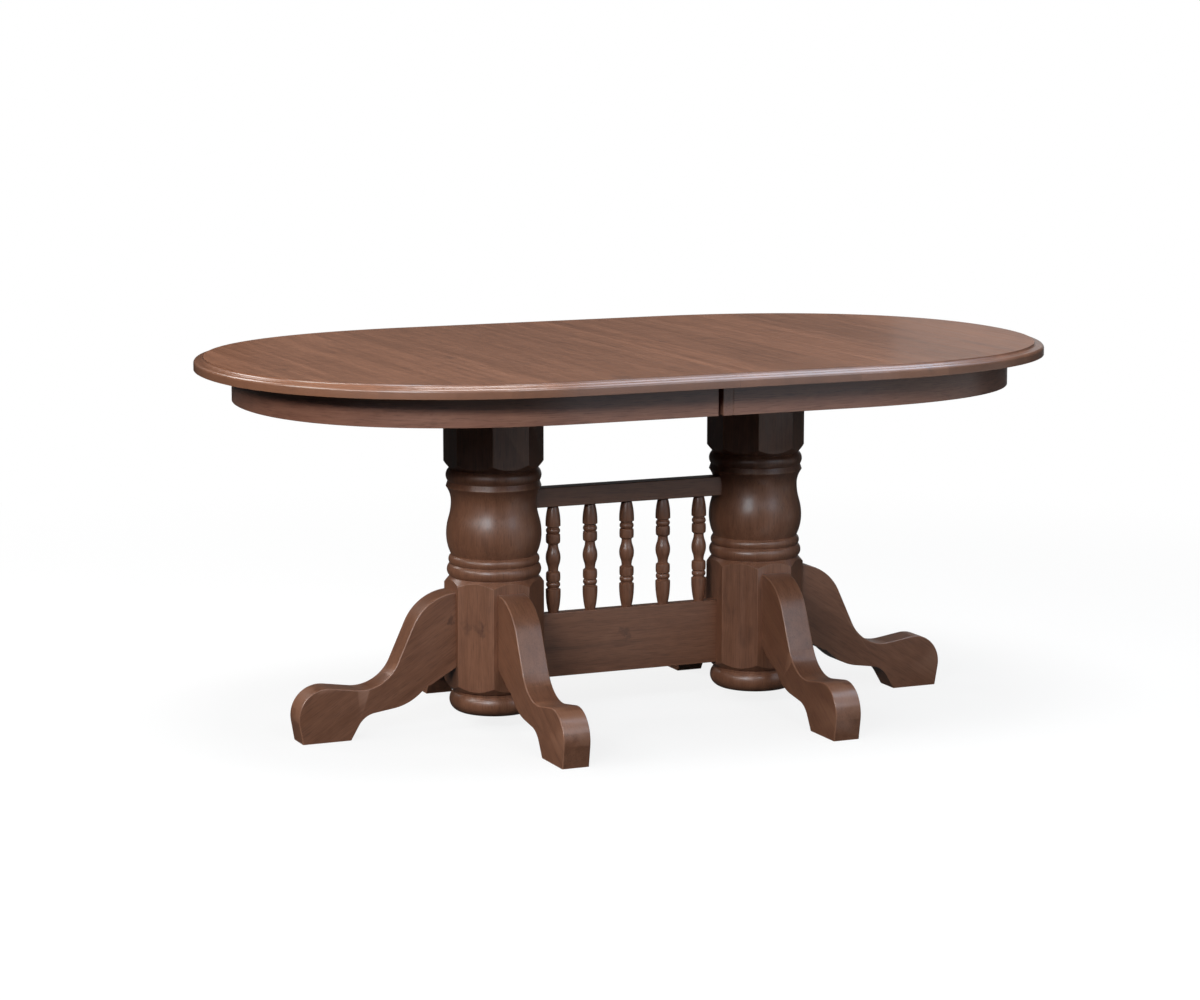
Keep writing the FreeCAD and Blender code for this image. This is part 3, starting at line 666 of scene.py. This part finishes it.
def makeHalf(half, side, body):
    name = half.capitalize()
    seed = apronPieces["seeds"][half]
    board = makeTop(half, side)
    if half == "right":
        cutSeamHoles(board)
    points = meshPoints(board)
    setGrain(board, points[:, 0], points[:, 2], points[:, 1], topPieces["seed"])
    settle(board, body, "top_wood", topWood, "top_" + half)

    apron = mergedCopy("apron_" + half, "apron" + name, apronPieces["arris"], everyEdge)
    points = meshPoints(apron)
    along, inset = alongOutline(points, side)
    setGrain(apron, points[:, 2], inset, along, seed)
    settle(apron, body, "stained_wood", apronPaintedLightWood, "apron_" + half)

    for place in ("front", "back"):
        node = "seam_rail_" + half + "_" + place
        rail = mergedCopy(node, "seamRail" + name + place.capitalize(), apronPieces["arris"], everyEdge)
        points = meshPoints(rail)
        setGrain(rail, points[:, 0], points[:, 2], points[:, 1], seed + apronPieces["railSeedStep"])
        settle(rail, body, "stained_wood", apronPaintedLightWood, node)


mouldedRim = buildRim()
makeHalf("left", -1, "left_half")
makeHalf("right", 1, "right_half")
print("top halves and aprons dressed")


# Columns

columnPieces = {
    "arris": 0.0005, "shortestArris": 0.0005, "seeds": {"left": 3, "right": 8},
    "scallops": ((0.0790, 0.0960), (0.2920, 0.3085), (0.5300, 0.5470)),
}


def onScallop(edge):
    # Edges where a flat of the octagon meets its bevel
    heights = [vertex.co.z for vertex in edge.verts]
    inBand = any(low < min(heights) and max(heights) < high for low, high in columnPieces["scallops"])
    return inBand and edge.calc_length() > columnPieces["shortestArris"]


def makeColumn(side):
    node = "column_" + side
    low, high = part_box(node)
    column = mergedCopy(node, "column" + side.capitalize(), columnPieces["arris"], onScallop)
    points = meshPoints(column)
    across = points[:, 0] - (low.x + high.x) / 2
    setGrain(column, across, points[:, 1], points[:, 2], columnPieces["seeds"][side])
    settle(column, "base", "stained_wood", stainedWood, node)


makeColumn("left")
makeColumn("right")
print("columns dressed")


# Legs

legPieces = {"grainSlope": math.radians(33), "firstSeed": 11}


def makeLeg(side, place, seed):
    node = "leg_" + side + "_" + place
    leg = mergedCopy(node, "leg" + side.capitalize() + place.capitalize())
    columnLow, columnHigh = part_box("column_" + side)
    points = meshPoints(leg) - np.array(((columnLow.x + columnHigh.x) / 2, 0, 0))
    outward = {"front": (0, -1), "back": (0, 1), "outer": (-1 if side == "left" else 1, 0)}[place]
    reach = points[:, 0] * outward[0] + points[:, 1] * outward[1]
    through = points[:, 0] * outward[1] - points[:, 1] * outward[0]
    slope = legPieces["grainSlope"]
    along = reach * math.cos(slope) - points[:, 2] * math.sin(slope)
    across = reach * math.sin(slope) + points[:, 2] * math.cos(slope)
    setGrain(leg, across, through, along, seed)
    settle(leg, "base", "stained_wood", stainedWood, node)


legs = [(side, place) for side in ("left", "right") for place in ("outer", "front", "back")]
for seed, (side, place) in enumerate(legs, legPieces["firstSeed"]):
    makeLeg(side, place, seed)
print("legs dressed")


# Stretcher

stretcher = {"arris": 0.0018, "shortestArris": 0.1, "boardSeed": 17, "barSeed": 19}
spindles = {
    "Count": 5, "Spacing": 0.0821, "Segments": 40, "arcSteps": 9, "rise": 0.0035,
    "end": 0.0104, "belly": 0.0153, "shoulder": 0.0154, "neck": 0.0104, "groove": 0.0120,
    "barrel": 0.0144, "barrelCrown": 0.0005, "bead": 0.0147, "neckOffset": 0.0275, "lipHeight": 0.0035,
    "barrelHeight": 0.0170, "grooveHeight": 0.0020, "beadHeight": 0.0115, "shoulderHeight": 0.0020,
    "taperSwell": 0.0016, "grainStep": 0.37, "seed": 21,
}


def makeRail(node, name, seed):
    rail = mergedCopy(node, name, stretcher["arris"], runsAlong(0, stretcher["shortestArris"]))
    points = meshPoints(rail)
    setGrain(rail, points[:, 1], points[:, 2], points[:, 0], seed)
    settle(rail, "base", "stained_wood", stainedWood, node)


def bow(start, startRadius, end, endRadius, rise):
    # Offsets and radii of a run that swells out from a straight line by an arc
    t = np.linspace(0, 1, spindles["arcSteps"])
    half = (end - start) / 2
    curve = (half * half + rise * rise) / (2 * rise)
    swell = np.sqrt(curve ** 2 - (half * (2 * t - 1)) ** 2) - (curve - rise)
    return list(zip(start + (end - start) * t, startRadius + (endRadius - startRadius) * t + swell))


def sway(start, startRadius, end, endRadius):
    # Two equal arcs, upright at both ends, that meet halfway
    rise = (end - start) / 2
    side = (endRadius - startRadius) / 2
    curve = (side * side + rise * rise) / (2 * abs(side))
    t = np.linspace(0, 1, spindles["arcSteps"])
    drop = np.sign(side) * (curve - np.sqrt(curve ** 2 - (rise * t) ** 2))
    first = list(zip(start + rise * t, startRadius + drop))
    second = list(zip(end - rise * t, endRadius - drop))
    return first + second[::-1][1:]


def halfSpindle(end):
    s = spindles
    lip = s["neckOffset"] + s["lipHeight"]
    barrel = lip + s["barrelHeight"]
    groove = barrel + s["grooveHeight"]
    beadEnd = groove + s["beadHeight"]
    rise = beadEnd + s["grooveHeight"]
    shoulder = rise + s["shoulderHeight"]
    run = sway(0, s["belly"], s["neckOffset"], s["neck"])
    run += bow(lip, s["barrel"], barrel, s["barrel"], s["barrelCrown"])
    run += bow(groove, s["groove"], beadEnd, s["groove"], s["bead"] - s["groove"])
    run += [(rise, s["groove"])]
    return run + bow(shoulder, s["shoulder"], end, s["end"], s["taperSwell"])


def buildSpindleRow():
    tree, given, result = newGeometryTree("spindleRow", [
        ("Count", "NodeSocketInt"), ("Spacing", "NodeSocketFloat"), ("Segments", "NodeSocketInt"),
        ("Wood", "NodeSocketMaterial")])
    circle = addNode(tree, "GeometryNodeCurvePrimitiveCircle")
    circle.inputs["Radius"].default_value = 1.0
    feed(tree, circle.inputs["Resolution"], given.outputs["Segments"])
    turning = addNode(tree, "GeometryNodeCurveToMesh")
    feed(tree, turning.inputs["Curve"], given.outputs["Geometry"])
    feed(tree, turning.inputs["Profile Curve"], circle.outputs["Curve"])
    turning.inputs["Fill Caps"].default_value = True
    feed(tree, turning.inputs["Scale"], addNode(tree, "GeometryNodeInputRadius").outputs[0])
    last = math2(tree, "SUBTRACT", given.outputs["Count"], 1)
    span = math2(tree, "MULTIPLY", last, given.outputs["Spacing"])
    start = addNode(tree, "ShaderNodeCombineXYZ")
    feed(tree, start.inputs["X"], math2(tree, "MULTIPLY", span, -0.5))
    step = addNode(tree, "ShaderNodeCombineXYZ")
    feed(tree, step.inputs["X"], given.outputs["Spacing"])
    row = addNode(tree, "GeometryNodeMeshLine", mode="OFFSET")
    feed(tree, row.inputs["Count"], given.outputs["Count"])
    feed(tree, row.inputs["Start Location"], start.outputs[0])
    feed(tree, row.inputs["Offset"], step.outputs[0])
    copies = addNode(tree, "GeometryNodeInstanceOnPoints")
    feed(tree, copies.inputs["Points"], row.outputs["Mesh"])
    feed(tree, copies.inputs["Instance"], turning.outputs["Mesh"])
    finishTree(tree, given, result, copies.outputs["Instances"])
    return tree


def makeSpindles():
    _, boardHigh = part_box("stretcher_board")
    barLow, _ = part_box("stretcher_bar")
    middle = (boardHigh.z + barLow.z) / 2 + spindles["rise"]
    lower = [(-offset, radius) for offset, radius in halfSpindle(middle - boardHigh.z)]
    profile = lower[:0:-1] + halfSpindle(barLow.z - middle)
    points = [(0, 0, middle + offset) for offset, _ in profile]
    radii = [radius for _, radius in profile]
    mesh = grownMesh("spindles", points, radii, buildSpindleRow(), {**spindles, "Wood": stainedWood})
    shape = bmesh.new()
    shape.from_mesh(mesh)
    bmesh.ops.recalc_face_normals(shape, faces=shape.faces)
    shadeByAngle(shape)
    shape.to_mesh(mesh)
    shape.free()
    row = newPiece("spindles", mesh)
    points = meshPoints(row)
    index = np.round(points[:, 0] / spindles["Spacing"])
    across = points[:, 0] - index * spindles["Spacing"] + index * spindles["grainStep"]
    setGrain(row, across, points[:, 1], points[:, 2], spindles["seed"])
    settle(row, "base", "stained_wood", stainedWood,
           *["spindle_" + str(number + 1) for number in range(spindles["Count"])])


makeRail("stretcher_board", "stretcherBoard", stretcher["boardSeed"])
makeRail("stretcher_bar", "stretcherBar", stretcher["barSeed"])
makeSpindles()
print("stretcher dressed")


# Slides and fixings keep their CAD shapes

fixings = {
    "alongX": ("rail_front", "rail_back", "slide_left", "slide_right",
               "glue_blocks", "seam_pins", "leg_dowels"),
    "alongY": ("plate_left", "plate_right"),
    "steel": ("rack", "pinion"),
}


def finishNode(node, material):
    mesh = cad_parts[node].data
    mesh.materials.clear()
    mesh.materials.append(material)


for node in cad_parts:
    if node.startswith(fixings["alongX"]):
        finishNode(node, slideWoodAlongX)
    elif node.startswith(fixings["alongY"]):
        finishNode(node, slideWoodAlongY)
    elif "screws" in node or node.startswith(fixings["steel"]):
        finishNode(node, zincSteel)
print("slides and fixings finished")


# Floor, light and camera

studio = {
    "white": 1.0, "floorSize": 60.0, "floorBounce": 0.02, "shadowDepth": 0.15, "shadowFade": (1.5, 3.2),
    "ambient": 0.004, "backdropTop": (0.10, 0.45), "upperGrey": 0.06,
}
lamps = [
    {"name": "left", "azimuth": -180, "elevation": 32, "distance": 5.0, "size": (1.8, 1.8), "power": 74,
     "tint": (0.97, 1.0, 0.98)},
    {"name": "leftLow", "azimuth": -157, "elevation": 21, "distance": 5.0, "size": (1.2, 0.5), "power": 30,
     "tint": (1.0, 0.96, 0.94)},
    {"name": "key", "azimuth": -132, "elevation": 23.5, "distance": 5.0, "size": (1.6, 0.6), "power": 87,
     "tint": (0.94, 0.98, 1.0)},
    {"name": "front", "azimuth": -90, "elevation": 33, "distance": 5.0, "size": (1.2, 1.2), "power": 38,
     "tint": (0.86, 0.94, 1.0)},
    {"name": "frontRight", "azimuth": -66, "elevation": 22, "distance": 5.0, "size": (1.6, 1.6), "power": 24,
     "tint": (0.66, 0.84, 1.0)},
    {"name": "right", "azimuth": -45, "elevation": 14, "distance": 5.0, "size": (1.2, 2.0), "power": 6,
     "tint": (1.0, 0.95, 0.92)},
    {"name": "rightHigh", "azimuth": -15, "elevation": 62, "distance": 5.0, "size": (2.2, 1.8), "power": 50,
     "tint": (0.88, 0.94, 1.0)},
    {"name": "overhead", "azimuth": -110, "elevation": 82, "distance": 5.5, "size": (2.4, 2.4), "power": 208,
     "tint": (1.0, 1.0, 1.0)},
    {"name": "behind", "azimuth": 130, "elevation": 35, "distance": 5.5, "size": (2.0, 1.6), "power": 58,
     "tint": (1.0, 0.98, 0.96)},
]
# Rings are given by their radius and height, and a screen is the strip between two
rings = {
    "wall": ((5.8, 0.002), (5.8, 4.0)), "underTable": ((0.55, 0.001), (0.0, 0.001)),
    "floor": ((5.8, 0.001), (0.55, 0.001)), "nearFloor": ((3.2, 0.001), (0.55, 0.001)),
    "farFloor": ((5.8, 0.001), (3.2, 0.001)), "keyCore": ((4.3, 1.4), (3.5, 3.3)),
    "keySide": ((4.7, 1.1), (3.2, 5.0)), "rimHigh": ((3.3, 3.8), (1.3, 4.2)),
    "rimLow": ((4.8, 2.9), (3.3, 3.8)),
}
tints = {
    "plain": (1.0, 1.0, 1.0), "front": (0.62, 0.83, 1.0), "core": (0.78, 0.89, 1.0), "key": (0.74, 0.87, 1.0),
    "rim": (0.55, 0.78, 1.0),
}
screens = [
    {"name": "right", "turn": (-8, 8), "rings": "wall", "glow": 0.1, "tint": "plain"},
    {"name": "rightBack", "turn": (8, 40), "rings": "wall", "glow": 0.05, "tint": "plain"},
    {"name": "backRight", "turn": (40, 56), "rings": "wall", "glow": 0.3, "tint": "plain"},
    {"name": "back", "turn": (56, 80), "rings": "wall", "glow": 0.08, "tint": "plain"},
    {"name": "backLeft", "turn": (80, 140), "rings": "wall", "glow": 0.02, "tint": "plain"},
    {"name": "left", "turn": (140, 195), "rings": "wall", "glow": 0.02, "tint": "plain"},
    {"name": "leftFront", "turn": (195, 240), "rings": "wall", "glow": 0.08, "tint": "plain"},
    {"name": "front", "turn": (240, 280), "rings": "wall", "glow": 0.25, "tint": "plain"},
    {"name": "frontRight", "turn": (280, 303), "rings": "wall", "glow": 0.78, "tint": "front"},
    {"name": "frontFarRight", "turn": (303, 352), "rings": "wall", "glow": 0.25, "tint": "plain"},
    {"name": "underTable", "turn": (0, 360), "rings": "underTable", "glow": 0.04, "tint": "plain"},
    {"name": "frontFloor", "turn": (245, 284), "rings": "floor", "glow": 0.06, "tint": "plain"},
    {"name": "nearFloor", "turn": (284, 305), "rings": "nearFloor", "glow": 0.7, "tint": "plain"},
    {"name": "nearRightFloor", "turn": (305, 352), "rings": "nearFloor", "glow": 0.15, "tint": "plain"},
    {"name": "farFloor", "turn": (284, 296), "rings": "farFloor", "glow": 0.4, "tint": "plain"},
    {"name": "farRightFloor", "turn": (296, 352), "rings": "farFloor", "glow": 0.9, "tint": "plain"},
    {"name": "dimFloor", "turn": (-8, 245), "rings": "floor", "glow": 0.04, "tint": "plain"},
    {"name": "keyCore", "turn": (216, 235), "rings": "keyCore", "glow": 5.6, "tint": "core"},
    {"name": "keySide", "turn": (212, 242), "rings": "keySide", "glow": 1.1, "tint": "key"},
    {"name": "cameraSide", "turn": (242, 254), "rings": "keySide", "glow": 0.5, "tint": "key"},
    {"name": "rimHigh", "turn": (-56, 44), "rings": "rimHigh", "glow": 5.0, "tint": "rim"},
    {"name": "rimLow", "turn": (-68, 0), "rings": "rimLow", "glow": 1.6, "tint": "rim"},
]
screenSteps = 37
view = {
    "imageWidth": 1200, "focalPixels": 3326.4, "sensor": 36.0,
    "place": (-2.7497, -6.1671, 1.5202), "azimuth": math.radians(23.566), "drop": math.radians(9.064),
}


def seenDirectly(tree):
    # 1 for rays from the camera, and for those that a gloss or glass sends on
    path = addNode(tree, "ShaderNodeLightPath")
    glossy = math2(tree, "ADD", path.outputs["Is Camera Ray"], path.outputs["Is Glossy Ray"])
    return math2(tree, "ADD", glossy, path.outputs["Is Transmission Ray"], True)


def bareMaterial(name):
    material = bpy.data.materials.new(name)
    material.use_nodes = True
    material.node_tree.nodes.clear()
    return material, material.node_tree


def mixShader(tree, factor, first, second):
    node = addNode(tree, "ShaderNodeMixShader")
    feed(tree, node.inputs[0], factor)
    feed(tree, node.inputs[1], first)
    feed(tree, node.inputs[2], second)
    return node.outputs[0]


def plainShader(tree, kind, color):
    node = addNode(tree, kind)
    node.inputs["Color"].default_value = (*color, 1)
    return node


def makeFloor():
    half = studio["floorSize"] / 2
    corners = [(-half, -half, 0), (half, -half, 0), (half, half, 0), (-half, half, 0)]
    mesh = bpy.data.meshes.new("floor")
    mesh.from_pydata(corners, [], [(0, 1, 2, 3)])
    floor = newPiece("floor", mesh)
    material, tree = bareMaterial("paleFloor")
    white = addNode(tree, "ShaderNodeEmission")
    white.inputs["Strength"].default_value = studio["white"]
    shaded = plainShader(tree, "ShaderNodeBsdfDiffuse", (1, 1, 1))
    dim = plainShader(tree, "ShaderNodeBsdfDiffuse", (studio["floorBounce"],) * 3)
    reach = addNode(tree, "ShaderNodeVectorMath", operation="LENGTH")
    feed(tree, reach.inputs[0], addNode(tree, "ShaderNodeTexCoord").outputs["Object"])
    shadow = ramp(tree, reach.outputs["Value"], *studio["shadowFade"], studio["shadowDepth"], 0.0)
    shown = mixShader(tree, shadow, white.outputs[0], shaded.outputs[0])
    upper = mixShader(tree, seenDirectly(tree), dim.outputs[0], shown)
    below = addNode(tree, "ShaderNodeNewGeometry").outputs["Backfacing"]
    surface = mixShader(tree, below, upper, addNode(tree, "ShaderNodeBsdfTransparent").outputs[0])
    feed(tree, addNode(tree, "ShaderNodeOutputMaterial").inputs["Surface"], surface)
    mesh.materials.append(material)


def makeWorld():
    world = bpy.data.worlds.new("studio")
    world.use_nodes = True
    tree = world.node_tree
    tree.nodes.clear()
    ambient = plainShader(tree, "ShaderNodeBackground", (1, 1, 1))
    ambient.inputs["Strength"].default_value = studio["ambient"]
    white = addNode(tree, "ShaderNodeBackground")
    white.inputs["Strength"].default_value = studio["white"]
    direction = addNode(tree, "ShaderNodeSeparateXYZ")
    feed(tree, direction.inputs[0], addNode(tree, "ShaderNodeTexCoord").outputs["Generated"])
    upward = ramp(tree, direction.outputs["Z"], *studio["backdropTop"], 1.0, studio["upperGrey"])
    camera = addNode(tree, "ShaderNodeLightPath").outputs["Is Camera Ray"]
    feed(tree, white.inputs["Color"], math2(tree, "MAXIMUM", upward, camera))
    surface = mixShader(tree, seenDirectly(tree), ambient.outputs[0], white.outputs[0])
    feed(tree, addNode(tree, "ShaderNodeOutputWorld").inputs["Surface"], surface)
    bpy.context.scene.world = world


def makeLamps():
    target = (cadBox[0] + cadBox[1]) / 2
    for lamp in lamps:
        light = bpy.data.lights.new(lamp["name"], "AREA")
        light.shape = "RECTANGLE"
        light.size, light.size_y = lamp["size"]
        light.energy = lamp["power"]
        light.color = lamp["tint"]
        around = math.radians(lamp["azimuth"])
        up = math.radians(lamp["elevation"])
        outward = Vector((math.cos(around) * math.cos(up), math.sin(around) * math.cos(up), math.sin(up)))
        holder = bpy.data.objects.new(lamp["name"], light)
        holder.location = target + outward * lamp["distance"]
        holder.rotation_euler = outward.to_track_quat("Z", "Y").to_euler()
        holder.visible_camera = False
        bpy.context.collection.objects.link(holder)


def screenMesh(name, screen):
    corners = []
    for degrees in np.linspace(*screen["turn"], screenSteps):
        x = math.cos(math.radians(degrees))
        y = math.sin(math.radians(degrees))
        for radius, height in rings[screen["rings"]]:
            corners.append((radius * x, radius * y, height))
    faces = [(2 * k, 2 * k + 2, 2 * k + 3, 2 * k + 1) for k in range(screenSteps - 1)]
    mesh = bpy.data.meshes.new(name)
    mesh.from_pydata(corners, [], faces)
    return mesh


def makeScreens():
    # Panels round the table that only its gloss sees: most are dim, so that its shaded sides don't mirror the
    # white studio, and the key and rim panels give its highlights
    for screen in screens:
        name = screen["name"] + "Screen"
        material, tree = bareMaterial(name)
        glow = plainShader(tree, "ShaderNodeEmission", tints[screen["tint"]])
        glow.inputs["Strength"].default_value = screen["glow"]
        feed(tree, addNode(tree, "ShaderNodeOutputMaterial").inputs["Surface"], glow.outputs[0])
        panel = newPiece(name, screenMesh(name, screen))
        panel.data.materials.append(material)
        panel.visible_camera = False
        panel.visible_diffuse = False
        panel.visible_shadow = False


def makeCamera():
    data = bpy.data.cameras.new("camera")
    data.sensor_fit = "HORIZONTAL"
    data.sensor_width = view["sensor"]
    data.lens = view["focalPixels"] * view["sensor"] / view["imageWidth"]
    camera = bpy.data.objects.new("camera", data)
    camera.location = view["place"]
    camera.rotation_euler = (math.pi / 2 - view["drop"], 0, -view["azimuth"])
    bpy.context.collection.objects.link(camera)
    bpy.context.scene.camera = camera


makeFloor()
makeWorld()
makeLamps()
makeScreens()
makeCamera()
bpy.context.scene.view_settings.view_transform = "Standard"
print("studio ready")
